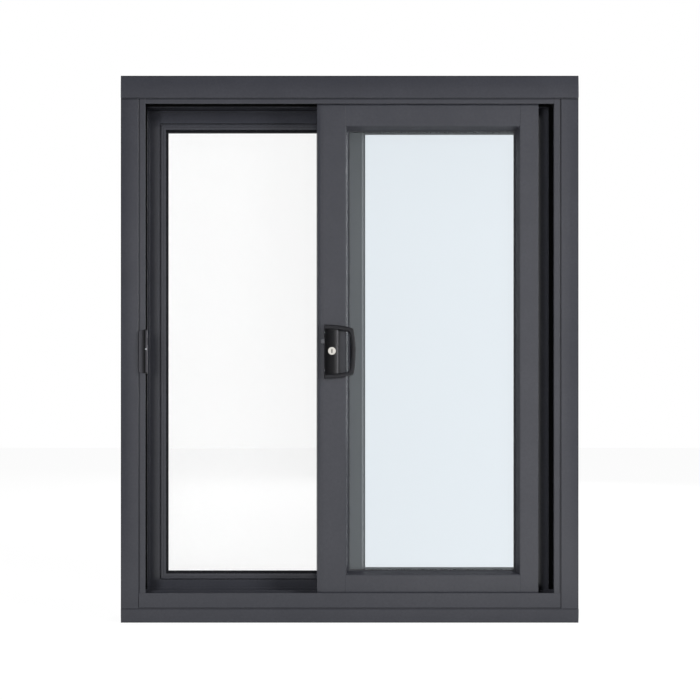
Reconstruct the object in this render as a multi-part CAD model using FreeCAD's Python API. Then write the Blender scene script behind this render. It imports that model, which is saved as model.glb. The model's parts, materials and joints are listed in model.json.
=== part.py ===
"""Horizontal sliding window: three-track frame, sliding sash, fixed light and insect screen.

Millimetres. X runs to the right seen from the room, Y towards the outside, Z up.
The origin is on the underside of the sill, at mid width and mid depth.
Depths named D_ are measured from the room face of the frame towards the outside.
Widths named with u are measured from a member's outer edge towards the glass.
"""
import FreeCAD, Part
import math
import os

os.makedirs("parts", exist_ok=True)
V = FreeCAD.Vector

# Outer frame: extruded aluminium, each face crowned and parted from its lip by a shadow line
WIDTH = 1000.0
HEIGHT = 1195.0
WALL = 2.0
EDGE_R = 0.6
LIP_T = 3.0
FIN_T = 2.5
SEAM_W = 3.6
SEAM_DEPTH = 2.0
FACE_CROWN = 2.0
HEAD_SEAM = 50.0
HEAD_FLOOR = 32.0
HEAD_LIP = 61.4
HEAD_FIN = 56.0
JAMB_SEAM = 40.0
JAMB_FLOOR = 34.0
JAMB_LIP = 54.0
SILL_SEAM = 31.5
SILL_LIP = 65.1
SILL_FIN = 62.3

# Rails on the sill that carry the sash rollers, the fixed light and the screen
RAIL_TOP = 41.0
RAIL_W = 3.6
BULB_R = 2.6
SEAT_W = 8.0

# Drain slots through the outside wall of the sill
WEEP_L = 32.0
WEEP_H = 6.0
WEEP_PITCH = 300.0
WEEP_COUNT = 3

# Screw holes through the jambs into the wall
FIXING_R = 4.0
FIXING_END = 247.5

# Room left between the planes, in depth
ROOM_GAP = 6.0
SLIDE_GAP = 5.0
MEET_GAP = 14.0
SET_GAP = 1.5
SCREEN_GAP = 3.0

# Sliding sash, drawn nearly as far open as it goes
SASH_T = 32.0
SASH_BITE = 5.8
SASH_PASS = 33.4
SASH_OVERHANG = 104.2
SASH_LIFT = 13.0
SASH_CLEAR = 5.5
LOCK_W = 62.6
INTERLOCK_W = 39.6
SASH_TOP_W = 61.9
SASH_BOTTOM_W = 55.8
RAIL_CHANNEL = 27.0
STILE_BROW = 15.0
STILE_CROWN = 1.8

# Glazing: bevelled bead, rubber on both faces of the pane, outside leg of the rebate
BEAD_W = 7.0
BEAD_NOSE = 1.2
BEAD_EDGE = 2.0
MITRE_GAP = 0.3
RECESS = 16.0
GASKET_T = 1.0
GASKET_W = 6.0
GASKET_SHOW = 3.0
GLASS_T = 6.0
GLASS_EDGE = 1.5
LEG_T = 2.5

# Interlock fins on the two meeting stiles
HOOK_T = 2.0
HOOK_H = 8.0
HOOK_INSET = 28.0
HOOK_CLEAR = 9.7

# Rollers under the sash
WHEEL_R = 12.0
WHEEL_RIM_R = 14.0
WHEEL_W = 11.0
WHEEL_GROOVE = 6.0
WHEEL_FLARE = 1.0
WHEEL_SIDE_GAP = 0.5
AXLE_R = 3.0
AXLE_FIT = 0.05
ROLLER_INSET = 55.0
ROLLER_LIFT = 0.3
CARRIAGE_L = 58.0
CARRIAGE_ROOF = 3.0

# Fixed light in the middle track
FIXED_T = 30.0
FIXED_PASS = 16.0
FIXED_CLEAR = 6.0
FIXED_INTERLOCK_W = 46.6
FIXED_JAMB_W = 62.6
FIXED_TOP_W = 62.4
FIXED_BOTTOM_W = 58.6

# Insect screen in the outside track
SCREEN_T = 16.0
SCREEN_CLEAR = 3.0
SCREEN_PASS = 8.0
SCREEN_LIFT = 8.8
SCREEN_SEAT = 39.0
SCREEN_W = 53.0
SCREEN_FACE_W = 38.8
SCREEN_WALL = 1.4
SPLINE_W = 3.4
SPLINE_DEPTH = 4.0
SPLINE_SINK = 0.8
LIP_STEP = 11.0
SCREEN_LIP = 4.7
RIDGE_W = 4.5
RIDGE_GAP = 1.4
RIDGE_DEPTH = 1.6
RIDGES = 2
MESH_T = 0.4
MESH_BAR = 1.2
MESH_COLUMNS = 12
MESH_ROWS = 12

# Pull handle on the lock stile
HANDLE_INSET = 16.1
HANDLE_Z = 592.0
HANDLE_HALF = 58.6
HANDLE_W = 30.2
HANDLE_DROP = 8.4
HANDLE_BOW = 2.2
BASE_T = 6.0
BODY_EDGE = 11.0
BODY_CROWN = 14.0
BODY_GAP = 0.5
BODY_ROUND = 2.2
FACET_W = 4.2
FACET_DROP = 2.4
GRIP_REACH = 62.4
GRIP_BULGE = 4.5
GRIP_BAR = 8.8
GRIP_T = 15.0
GRIP_ROUND = 2.6
ARM_T = 9.2
CORNER_R = 4.0
GAP_CORNER_R = 9.0

# Lock cylinder and latch tongue in the handle's body
CYLINDER_R = 8.3
CYLINDER_FIT = 0.05
CYLINDER_RISE = 1.1
CYLINDER_SHOW = 1.5
CYLINDER_L = 12.0
KEYWAY_W = 2.2
KEYWAY_H = 9.0
KEYWAY_DEPTH = 5.0
TONGUE_L = 7.9
TONGUE_H = 11.2
TONGUE_T = 5.5
TONGUE_LIFT = 5.5
TONGUE_RISE = 22.5
TONGUE_BEVEL = 2.0

# Keeper on the left jamb
KEEPER_SET = 0.7
KEEPER_W = 18.3
KEEPER_HALF = 47.8
KEEPER_T = 11.5
KEEPER_LOW_T = 6.5
KEEPER_TAPER = 4.0
KEEPER_STRIP = 5.6
KEEPER_STEP = 6.0
KEEPER_FIT = 2.0
KEEPER_POCKET = 4.6

HALF_W = WIDTH / 2
LIP_X = HALF_W - JAMB_LIP
FLOOR_X = HALF_W - JAMB_FLOOR
CEILING = HEIGHT - HEAD_FLOOR
D_SASH = LIP_T + ROOM_GAP
D_FIN1 = D_SASH + SASH_T + SLIDE_GAP
D_FIXED = D_SASH + SASH_T + MEET_GAP
D_FIN2 = D_FIXED + FIXED_T + SET_GAP
D_SCREEN = D_FIN2 + FIN_T + SCREEN_GAP
DEPTH = D_SCREEN + SCREEN_T + SET_GAP + FIN_T
D_RAIL1 = D_SASH + SASH_T / 2
D_RAIL2 = D_FIXED + FIXED_T / 2
D_RAIL3 = D_SCREEN + SCREEN_T / 2
SASH_WIDTH = LIP_X + SASH_BITE + SASH_PASS
SASH_LEFT = SASH_WIDTH - SASH_OVERHANG - LIP_X - SASH_BITE
SASH_RIGHT = SASH_LEFT + SASH_WIDTH
SASH_BOTTOM = RAIL_TOP + SASH_CLEAR
SASH_TOP = CEILING - SASH_LIFT
HOOK_LOW = SILL_FIN + HOOK_CLEAR
HOOK_HIGH = HEIGHT - HEAD_FIN - HOOK_CLEAR
HANDLE_LEFT = SASH_LEFT + HANDLE_INSET
D_BASE = D_SASH - BASE_T
D_TONGUE = D_BASE - TONGUE_LIFT
TONGUE_Z = HANDLE_Z + TONGUE_RISE


def yy(depth):
    """Y of a depth behind the room face."""
    return depth - DEPTH / 2


def outline(points, radius=0.0):
    """Closed wire through the points, its corners rounded where both sides leave room."""
    legs = []
    for i, p in enumerate(points):
        back = points[i - 1] - p
        ahead = points[(i + 1) % len(points)] - p
        half = back.getAngle(ahead) / 2
        run = radius / math.tan(half)
        if radius == 0 or run > 0.45 * min(back.Length, ahead.Length):
            legs.append((p, None, p))
            continue
        back.normalize()
        ahead.normalize()
        middle = (back + ahead).normalize()
        crest = p + middle * (radius / math.sin(half) - radius)
        legs.append((p + back * run, crest, p + ahead * run))
    edges = []
    for i, (start, crest, end) in enumerate(legs):
        edges.append(Part.makeLine(legs[i - 1][2], start))
        if crest is not None:
            edges.append(Part.Arc(start, crest, end).toShape())
    return Part.Wire(edges)


def prism(outer, voids, direction, radius=0.0):
    """Extrudes an outline with voids along a direction."""
    wires = [outline(points, radius) for points in [outer] + voids]
    return Part.makeFace(wires, "Part::FaceMakerBullseye").extrude(direction)


def crown(shape, place, run, width, drop, front=0.0):
    """Curves a front face back by drop at u = 0, tangent to the flat at u = width."""
    radius = (width ** 2 + drop ** 2) / (2 * drop)
    half = math.asin(width / radius) / 2
    start, end = (width, front), (0, front + drop)
    middle = (width - radius * math.sin(half), front + radius * (1 - math.cos(half)))
    outside = [(-drop, front + drop), (-drop, front - drop), (width, front - drop)]
    points = place([start, middle, end] + outside)
    sides = Part.makePolygon(points[2:] + points[:1])
    face = Part.Face(Part.Wire([Part.Arc(*points[:3]).toShape()] + sides.Edges))
    return shape.cut(face.extrude(run))


def box(x0, x1, d0, d1, z0, z1):
    return Part.makeBox(x1 - x0, d1 - d0, z1 - z0, V(x0, yy(d0), z0))


def rect(u0, u1, d0, d1):
    return [(u0, d0), (u1, d0), (u1, d1), (u0, d1)]


def save(name, shape):
    shape.exportStep("parts/%s.step" % name)


def save_all(name, shapes):
    save(name, Part.makeCompound(shapes))


def channel_walls(lip, fin, ribs=()):
    """Walls that stand on a track's floor: (start depth, end depth, height)."""
    walls = [(0, LIP_T, lip)]
    walls += [(d, d + FIN_T, fin) for d in (D_FIN1, D_FIN2, DEPTH - FIN_T)]
    return sorted(walls + list(ribs))


def frame_section(seam, floor, walls):
    """Outline and chambers of a frame extrusion, as (u inward, depth)."""
    line0, line1 = seam - SEAM_W / 2, seam + SEAM_W / 2
    outer = [(0, 0), (line0, 0), (line0, SEAM_DEPTH), (line1, SEAM_DEPTH), (line1, 0)]
    for start, end, height in walls:
        if start > 0:
            outer.append((floor, start))
        outer += [(height, start), (height, end)]
        if end < DEPTH:
            outer.append((floor, end))
    outer.append((0, DEPTH))
    skin = LIP_T + FACE_CROWN / 2
    spans = [(skin, D_FIN1), (D_FIN1 + FIN_T, D_FIN2), (D_FIN2 + FIN_T, DEPTH - FIN_T)]
    return outer, [rect(WALL, floor - WALL, start, end) for start, end in spans]


def make_head():
    outer, chambers = frame_section(HEAD_SEAM, HEAD_FLOOR, channel_walls(HEAD_LIP, HEAD_FIN))

    def place(points):
        return [V(-HALF_W, yy(d), HEIGHT - u) for u, d in points]

    run = V(WIDTH, 0, 0)
    head = prism(place(outer), [place(c) for c in chambers], run, EDGE_R)
    head = crown(head, place, run, HEAD_SEAM - SEAM_W, FACE_CROWN)
    for x0 in (-HALF_W, LIP_X):
        cope = box(x0, x0 + JAMB_LIP, -DEPTH, 2 * DEPTH, 0, HEIGHT - HEAD_SEAM)
        head = head.cut(cope)
    return head


def make_sill():
    ribs = [(D_RAIL1 - RAIL_W / 2, D_RAIL1 + RAIL_W / 2, RAIL_TOP - BULB_R)]
    for d, top in ((D_RAIL2, RAIL_TOP), (D_RAIL3, SCREEN_SEAT)):
        ribs.append((d - SEAT_W / 2, d + SEAT_W / 2, top))
    floor = SILL_SEAM - SEAM_W / 2
    outer, chambers = frame_section(SILL_SEAM, floor, channel_walls(SILL_LIP, SILL_FIN, ribs))

    def place(points):
        return [V(-HALF_W, yy(d), u) for u, d in points]

    run = V(WIDTH, 0, 0)
    sill = prism(place(outer), [place(c) for c in chambers], run, EDGE_R)
    sill = crown(sill, place, run, SILL_SEAM - SEAM_W, FACE_CROWN)
    bulb = V(-HALF_W, yy(D_RAIL1), RAIL_TOP - BULB_R)
    sill = sill.fuse(Part.makeCylinder(BULB_R, WIDTH, bulb, V(1, 0, 0)))
    for x0 in (-HALF_W, HALF_W - JAMB_SEAM):
        sill = sill.cut(box(x0, x0 + JAMB_SEAM, -DEPTH, 2 * DEPTH, SILL_SEAM, HEIGHT))
    for i in range(WEEP_COUNT):
        sill = sill.cut(weep((i - (WEEP_COUNT - 1) / 2) * WEEP_PITCH, floor))
    return sill


def weep(x, floor):
    """Round-ended slot through the outside wall, just above the track's floor."""
    reach = WEEP_L / 2 - WEEP_H / 2
    z = floor + WEEP_H / 2 + WALL
    slot = box(x - reach, x + reach, DEPTH - 2 * FIN_T, DEPTH + FIN_T, z - WEEP_H / 2, z + WEEP_H / 2)
    for side in (-reach, reach):
        end = V(x + side, yy(DEPTH - 2 * FIN_T), z)
        slot = slot.fuse(Part.makeCylinder(WEEP_H / 2, 3 * FIN_T, end, V(0, 1, 0)))
    return slot


def make_jamb(side):
    """side is -1 for the left jamb and 1 for the right one."""
    outer, chambers = frame_section(JAMB_SEAM, JAMB_FLOOR, channel_walls(JAMB_LIP, JAMB_LIP))

    def place(points):
        return [V(side * (HALF_W - u), yy(d), SILL_SEAM) for u, d in points]

    run = V(0, 0, HEIGHT - HEAD_SEAM - SILL_SEAM)
    jamb = prism(place(outer), [place(c) for c in chambers], run, EDGE_R)
    jamb = crown(jamb, place, run, JAMB_SEAM - SEAM_W, FACE_CROWN)
    x0, x1 = sorted((side * (HALF_W - JAMB_SEAM), 0))
    jamb = jamb.cut(box(x0, x1, -DEPTH, LIP_T, 0, SILL_LIP))
    jamb = jamb.cut(box(x0, x1, LIP_T, 2 * DEPTH, 0, SILL_FIN))
    for z in (FIXING_END, HEIGHT - FIXING_END):
        start = V(side * HALF_W, yy(D_RAIL2), z)
        jamb = jamb.cut(Part.makeCylinder(FIXING_R, JAMB_FLOOR, start, V(-side, 0, 0)))
    return jamb


def glazed_section(width, front, thick, channel=0.0, skin=WALL):
    """Tube with a skin in front; a channel makes its outer part an open trough."""
    back = front + thick
    outer = [(0, front), (width, front), (width, back), (0, back)]
    if channel:
        trough = [(0, back - WALL), (channel, back - WALL)]
        outer += trough + [(channel, front + WALL), (0, front + WALL)]
    chamber = rect(channel + WALL, width - WALL, front + skin, back - WALL)
    return outer, [chamber]


def leg_depth(front):
    """Room face of the rebate's outside leg, behind pane and rubber."""
    return front + RECESS + GLASS_T + GASKET_T


def make_rail(edge, inward, x0, x1, width, front, thick, channel=0.0):
    """Horizontal member: edge is the Z of its outer edge, inward is +1 or -1 along Z."""
    outer, voids = glazed_section(width, front, thick, channel)

    def place(points):
        return [V(x0, yy(d), edge + inward * u) for u, d in points]

    rail = prism(place(outer), [place(v) for v in voids], V(x1 - x0, 0, 0), EDGE_R)
    z0, z1 = sorted((edge + inward * (width - WALL), edge + inward * (width + BEAD_W)))
    leg = leg_depth(front)
    return rail.fuse(box(x0, x1, leg, leg + LEG_T, z0, z1)).removeSplitter()


def make_stile(edge, inward, ends, leg_ends, width, front, thick, skin=WALL):
    """Vertical member: edge is the X of its outer edge, inward is +1 or -1 along X."""
    outer, voids = glazed_section(width, front, thick, 0.0, skin)

    def place(points):
        return [V(edge + inward * u, yy(d), ends[0]) for u, d in points]

    stile = prism(place(outer), [place(v) for v in voids], V(0, 0, ends[1] - ends[0]), EDGE_R)
    x0, x1 = sorted((edge + inward * (width - WALL), edge + inward * (width + BEAD_W)))
    leg = leg_depth(front)
    return stile.fuse(box(x0, x1, leg, leg + LEG_T, leg_ends[0], leg_ends[1])).removeSplitter()


def mitred_bars(x0, x1, z0, z1, outer, voids, gap, radius):
    """Four bars round a rectangle, cut at 45 degrees; sections are (u inward, depth)."""
    reach = max(u for u, d in outer) + gap
    slack = gap / 2 ** 0.5
    low, high = z0 + slack, z1 - slack
    flat = x0 + slack, x1 - slack
    fields = {
        "left": [(x0, low), (x0 + reach, low + reach), (x0 + reach, high - reach), (x0, high)],
        "right": [(x1, low), (x1 - reach, low + reach), (x1 - reach, high - reach), (x1, high)],
        "top": [(flat[0], z1), (flat[0] + reach, z1 - reach),
                (flat[1] - reach, z1 - reach), (flat[1], z1)],
        "bottom": [(flat[0], z0), (flat[0] + reach, z0 + reach),
                   (flat[1] - reach, z0 + reach), (flat[1], z0)],
    }
    starts = {
        "left": (lambda u, d: V(x0 + u, yy(d), z0), V(0, 0, z1 - z0)),
        "right": (lambda u, d: V(x1 - u, yy(d), z0), V(0, 0, z1 - z0)),
        "top": (lambda u, d: V(x0, yy(d), z1 - u), V(x1 - x0, 0, 0)),
        "bottom": (lambda u, d: V(x0, yy(d), z0 + u), V(x1 - x0, 0, 0)),
    }
    bars = {}
    for name, (at, run) in starts.items():
        loops = [[at(u, d) for u, d in points] for points in [outer] + voids]
        bar = prism(loops[0], loops[1:], run, radius)
        field = prism([V(x, -DEPTH, z) for x, z in fields[name]], [], V(0, 2 * DEPTH, 0))
        bars[name] = bar.common(field)
    return bars


def ring(x0, x1, z0, z1, width, d0, d1):
    hole = box(x0 + width, x1 - width, d0 - DEPTH, d1 + DEPTH, z0 + width, z1 - width)
    return box(x0, x1, d0, d1, z0, z1).cut(hole)


def save_glazing(name, x0, x1, z0, z1, front):
    """Beads, rubbers and pane for a rebate whose edges are x0, x1, z0, z1."""
    pane = front + RECESS
    bead_back = pane - GASKET_T
    section = [(0, front), (BEAD_NOSE, front), (BEAD_W, bead_back - BEAD_EDGE)]
    section += [(BEAD_W, bead_back), (0, bead_back)]
    bars = mitred_bars(x0, x1, z0, z1, section, [], MITRE_GAP, EDGE_R)
    save_all(name + "_beads", list(bars.values()))
    inset = BEAD_W + GASKET_SHOW - GASKET_W
    room = (x0 + inset, x1 - inset, z0 + inset, z1 - inset, GASKET_W)
    rubbers = [ring(*room, d, d + GASKET_T) for d in (bead_back, pane + GLASS_T)]
    save_all(name + "_gaskets", rubbers)
    edge = GLASS_EDGE
    save(name + "_glass", box(x0 + edge, x1 - edge, pane, pane + GLASS_T, z0 + edge, z1 - edge))


def save_sash():
    x0, x1 = SASH_LEFT + LOCK_W, SASH_RIGHT - INTERLOCK_W
    z0, z1 = SASH_BOTTOM + SASH_BOTTOM_W, SASH_TOP - SASH_TOP_W
    ends = (SASH_BOTTOM, SASH_TOP)
    leg_ends = (z0 + BEAD_W, z1 - BEAD_W)
    skin = WALL + STILE_CROWN / 2
    stile = make_stile(SASH_LEFT, 1, ends, leg_ends, LOCK_W, D_SASH, SASH_T, skin)

    def place(points):
        return [V(SASH_LEFT + u, yy(d), SASH_BOTTOM) for u, d in points]

    run = V(0, 0, SASH_TOP - SASH_BOTTOM)
    save("sash_lock_stile", crown(stile, place, run, STILE_BROW, STILE_CROWN, D_SASH))
    stile = make_stile(SASH_RIGHT, -1, ends, leg_ends, INTERLOCK_W, D_SASH, SASH_T)
    fin_x = SASH_RIGHT - HOOK_INSET
    back = D_SASH + SASH_T
    fin = box(fin_x - HOOK_T, fin_x, back - WALL, back + HOOK_H, HOOK_LOW, HOOK_HIGH)
    save("sash_interlock_stile", stile.fuse(fin).removeSplitter())
    top = make_rail(SASH_TOP, -1, x0, x1, SASH_TOP_W, D_SASH, SASH_T, RAIL_CHANNEL)
    save("sash_top_rail", top)
    bottom = make_rail(SASH_BOTTOM, 1, x0, x1, SASH_BOTTOM_W, D_SASH, SASH_T, RAIL_CHANNEL)
    save("sash_bottom_rail", bottom)
    save_glazing("sash", x0, x1, z0, z1, D_SASH)
    places = (x0 + ROLLER_INSET, x1 - ROLLER_INSET)
    save_all("roller_wheels", [make_wheel(x) for x in places])
    save_all("roller_carriages", [make_carriage(x) for x in places])


def axle_height():
    return RAIL_TOP + ROLLER_LIFT + WHEEL_R


def make_wheel(x):
    """Wheel with a groove that straddles the rail."""
    half, groove = WHEEL_W / 2, WHEEL_GROOVE / 2
    flare = groove + WHEEL_FLARE
    profile = [(AXLE_R, -half), (WHEEL_RIM_R, -half), (WHEEL_RIM_R, -flare), (WHEEL_R, -groove)]
    profile += [(WHEEL_R, groove), (WHEEL_RIM_R, flare), (WHEEL_RIM_R, half), (AXLE_R, half)]
    face = Part.Face(outline([V(x + r, yy(D_RAIL1 + t), axle_height()) for r, t in profile]))
    return face.revolve(V(x, yy(D_RAIL1), axle_height()), V(0, 1, 0), 360)


def make_carriage(x):
    """Block with two cheeks inside the bottom rail's trough, and the wheel's pin."""
    cheek = SASH_T / 2 - WALL
    slot = WHEEL_W / 2 + WHEEL_SIDE_GAP
    roof = SASH_BOTTOM + RAIL_CHANNEL
    half = CARRIAGE_L / 2
    block = box(x - half, x + half, D_RAIL1 - cheek, D_RAIL1 + cheek, SASH_BOTTOM, roof)
    bay = box(x - CARRIAGE_L, x + CARRIAGE_L, D_RAIL1 - slot, D_RAIL1 + slot, 0, roof - CARRIAGE_ROOF)
    start = V(x, yy(D_RAIL1 - cheek), axle_height())
    pin = Part.makeCylinder(AXLE_R - AXLE_FIT, 2 * cheek, start, V(0, 1, 0))
    return block.cut(bay).fuse(pin)


def save_fixed_light():
    left, right = -FIXED_PASS, FLOOR_X
    low, high = RAIL_TOP, CEILING - FIXED_CLEAR
    x0, x1 = left + FIXED_INTERLOCK_W, right - FIXED_JAMB_W
    z0, z1 = low + FIXED_BOTTOM_W, high - FIXED_TOP_W
    leg_ends = (z0 + BEAD_W, z1 - BEAD_W)
    meet = make_stile(left, 1, (low, high), leg_ends, FIXED_INTERLOCK_W, D_FIXED, FIXED_T)
    fin = box(left, left + HOOK_T, D_FIXED - HOOK_H, D_FIXED + WALL, HOOK_LOW, HOOK_HIGH)
    save("fixed_interlock_stile", meet.fuse(fin).removeSplitter())
    side = make_stile(right, -1, (low, high), leg_ends, FIXED_JAMB_W, D_FIXED, FIXED_T)
    save("fixed_jamb_stile", side)
    save("fixed_top_rail", make_rail(high, -1, x0, x1, FIXED_TOP_W, D_FIXED, FIXED_T))
    save("fixed_bottom_rail", make_rail(low, 1, x0, x1, FIXED_BOTTOM_W, D_FIXED, FIXED_T))
    save_glazing("fixed", x0, x1, z0, z1, D_FIXED)


def screen_section():
    """Flat face, spline groove, ridged band and low inner lip, with one chamber."""
    front, back = D_SCREEN, D_SCREEN + SCREEN_T
    groove = SCREEN_FACE_W + SPLINE_W
    floor = front + SPLINE_DEPTH
    outer = [(0, front), (SCREEN_FACE_W, front), (SCREEN_FACE_W, floor), (groove, floor), (groove, front)]
    for i in range(1, RIDGES):
        u = groove + i * (RIDGE_W + RIDGE_GAP)
        outer += [(u - RIDGE_GAP, front), (u - RIDGE_GAP, front + RIDGE_DEPTH)]
        outer += [(u, front + RIDGE_DEPTH), (u, front)]
    step, lip = front + LIP_STEP, SCREEN_W + SCREEN_LIP
    outer += [(SCREEN_W, front), (SCREEN_W, step), (lip, step), (lip, back), (0, back)]
    t = SCREEN_WALL
    chamber = [(t, front + t), (SCREEN_FACE_W - t, front + t), (SCREEN_FACE_W - t, floor + t)]
    chamber += [(SCREEN_W - t, floor + t), (SCREEN_W - t, back - t), (t, back - t)]
    return outer, [chamber]


def save_screen():
    left, right = SCREEN_CLEAR - FLOOR_X, SCREEN_PASS
    low, high = SCREEN_SEAT, CEILING - SCREEN_LIFT
    outer, voids = screen_section()
    for name, bar in mitred_bars(left, right, low, high, outer, voids, 0, 0).items():
        kind = "stile" if name in ("left", "right") else "rail"
        save("screen_%s_%s" % (name, kind), bar)
    g = SCREEN_FACE_W
    floor = D_SCREEN + SPLINE_DEPTH
    cord = ring(left + g, right - g, low + g, high - g, SPLINE_W, D_SCREEN + SPLINE_SINK, floor)
    save("screen_spline", cord)
    m = SCREEN_W + SCREEN_LIP
    save("screen_mesh", make_mesh(left + m, right - m, low + m, high - m))


def make_mesh(x0, x1, z0, z1):
    """Plain grid of bars in the place of the screen's fine wires."""
    cloth = D_SCREEN + LIP_STEP + MESH_T
    wide = (x1 - x0 - MESH_BAR) / MESH_COLUMNS
    tall = (z1 - z0 - MESH_BAR) / MESH_ROWS
    openings = []
    for i in range(MESH_COLUMNS):
        for j in range(MESH_ROWS):
            x, z = x0 + MESH_BAR + i * wide, z0 + MESH_BAR + j * tall
            openings.append(box(x, x + wide - MESH_BAR, 0, DEPTH, z, z + tall - MESH_BAR))
    return box(x0, x1, cloth, cloth + MESH_T, z0, z1).cut(Part.makeCompound(openings))


def handle_field(inset, left, right, depth, bulge):
    """Handle outline, narrowed by inset at top and bottom, as a face at a depth.

    Top and bottom edges fall in a shallow bow towards the grip.
    """
    def point(x, z):
        return V(x, yy(depth), HANDLE_Z + z)

    def edge_height(x):
        along = (x - HANDLE_LEFT) / GRIP_REACH
        return HANDLE_HALF - inset - HANDLE_DROP * along + HANDLE_BOW * 4 * along * (1 - along)

    middle = (left + right) / 2
    a, b = point(left, edge_height(left)), point(right, edge_height(right))
    c, d = point(right, -edge_height(right)), point(left, -edge_height(left))
    top = Part.Arc(a, point(middle, edge_height(middle)), b).toShape()
    bottom = Part.Arc(c, point(middle, -edge_height(middle)), d).toShape()
    if bulge:
        side = Part.Arc(b, point(right + bulge, 0), c).toShape()
    else:
        side = Part.makeLine(b, c)
    return Part.Face(Part.Wire([top, side, bottom, Part.makeLine(d, a)]))


def edges_along_depth(shape, low_x):
    """Straight edges that run along Y, right of low_x."""
    found = []
    for edge in shape.Edges:
        ends = [v.Point for v in edge.Vertexes]
        if len(ends) == 2 and abs((ends[1] - ends[0]).normalize().y) > 0.999 and ends[0].x > low_x:
            found.append(edge)
    return found


def save_handle():
    body_right = HANDLE_LEFT + HANDLE_W
    right = HANDLE_LEFT + GRIP_REACH
    base = handle_field(0, HANDLE_LEFT, body_right, D_BASE, 0).extrude(V(0, BASE_T, 0))
    save("handle_base", base)

    bail = handle_field(0, HANDLE_LEFT, right, D_BASE, GRIP_BULGE).extrude(V(0, -GRIP_T, 0))
    bail = bail.makeFillet(CORNER_R, edges_along_depth(bail, body_right))
    past = HANDLE_LEFT - HANDLE_INSET
    hole = handle_field(ARM_T, past, right - GRIP_BAR, D_BASE + BASE_T, GRIP_BULGE)
    hole = hole.extrude(V(0, -GRIP_T - 2 * BASE_T, 0))
    hole = hole.makeFillet(GAP_CORNER_R, edges_along_depth(hole, body_right))
    bail = bail.cut(hole)
    front = yy(D_BASE - GRIP_T)
    rim = [e for e in bail.Edges if all(abs(v.Y - front) < 0.01 for v in e.Vertexes)]
    rim = [e for e in rim if abs(e.BoundBox.XMax - e.BoundBox.XMin) > 1]
    save("handle_grip", bail.makeFillet(GRIP_ROUND, rim))

    brow, crest = yy(D_BASE - BODY_EDGE), body_right - FACET_W
    corners = [V(HANDLE_LEFT, brow, 0), V(HANDLE_LEFT, yy(D_BASE), 0), V(body_right, yy(D_BASE), 0),
               V(body_right, brow + FACET_DROP, 0), V(crest, brow, 0)]
    top = V((HANDLE_LEFT + crest) / 2, yy(D_BASE - BODY_CROWN), 0)
    arc = Part.Arc(corners[-1], top, corners[0]).toShape()
    section = Part.Face(Part.Wire([Part.makePolygon(corners), arc]))
    field = handle_field(ARM_T + BODY_GAP, HANDLE_LEFT, body_right, D_BASE, 0)
    cover = section.extrude(V(0, 0, HEIGHT))
    ridge = [e for e in cover.Edges if all((v.Point - corners[0]).cross(V(0, 0, 1)).Length < EDGE_R
                                           for v in e.Vertexes)]
    cover = cover.makeFillet(BODY_ROUND, ridge)
    body = cover.common(field.extrude(V(0, -GRIP_T, 0)))
    lock_x, lock_z = HANDLE_LEFT + HANDLE_W / 2, HANDLE_Z + CYLINDER_RISE
    lock_front = yy(D_BASE - BODY_CROWN - CYLINDER_SHOW)
    lock_at = V(lock_x, lock_front, lock_z)
    seat = Part.makeCylinder(CYLINDER_R + CYLINDER_FIT, CYLINDER_L, lock_at, V(0, 1, 0))
    save("handle_body", body.cut(seat))

    plug = Part.makeCylinder(CYLINDER_R, CYLINDER_L, lock_at, V(0, 1, 0))
    slot = Part.makeBox(KEYWAY_W, KEYWAY_DEPTH, KEYWAY_H,
                        V(lock_x - KEYWAY_W / 2, lock_front, lock_z - KEYWAY_H / 2))
    save("lock_cylinder", plug.cut(slot))

    tip, root = HANDLE_LEFT - TONGUE_L, HANDLE_LEFT
    half = TONGUE_H / 2
    shape = [(root, -half), (root, half), (tip, half - TONGUE_BEVEL), (tip, TONGUE_BEVEL - half)]
    points = [V(x, yy(D_TONGUE - TONGUE_T / 2), TONGUE_Z + z) for x, z in shape]
    save("latch_tongue", prism(points, [], V(0, TONGUE_T, 0), EDGE_R))


def save_keeper():
    """Block that tapers towards the jamb, with a raised strip and a pocket for the tongue."""
    left = JAMB_SEAM - HALF_W + KEEPER_SET
    right = left + KEEPER_W
    strip = right - KEEPER_STRIP
    section = [(left, 0), (right, 0), (right, -KEEPER_T), (strip, -KEEPER_T)]
    section += [(strip, KEEPER_STEP - KEEPER_T), (left, -KEEPER_LOW_T)]
    low = HANDLE_Z - KEEPER_HALF
    block = prism([V(x, yy(d), low) for x, d in section], [], V(0, 0, 2 * KEEPER_HALF), EDGE_R)
    inner = KEEPER_HALF - KEEPER_TAPER
    field = [(left, -inner), (strip, -KEEPER_HALF), (right, -KEEPER_HALF)]
    field += [(right, KEEPER_HALF), (strip, KEEPER_HALF), (left, inner)]
    block = block.common(prism([V(x, -DEPTH, HANDLE_Z + z) for x, z in field], [], V(0, 2 * DEPTH, 0)))
    reach = TONGUE_T / 2 + KEEPER_FIT
    half = TONGUE_H / 2 + KEEPER_FIT
    pocket = box(right - KEEPER_POCKET, right + KEEPER_POCKET, D_TONGUE - reach, D_TONGUE + reach,
                 TONGUE_Z - half, TONGUE_Z + half)
    save("keeper", block.cut(pocket))


save("head", make_head())
save("sill", make_sill())
save("left_jamb", make_jamb(-1))
save("right_jamb", make_jamb(1))
save_sash()
save_fixed_light()
save_screen()
save_handle()
save_keeper()
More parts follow.
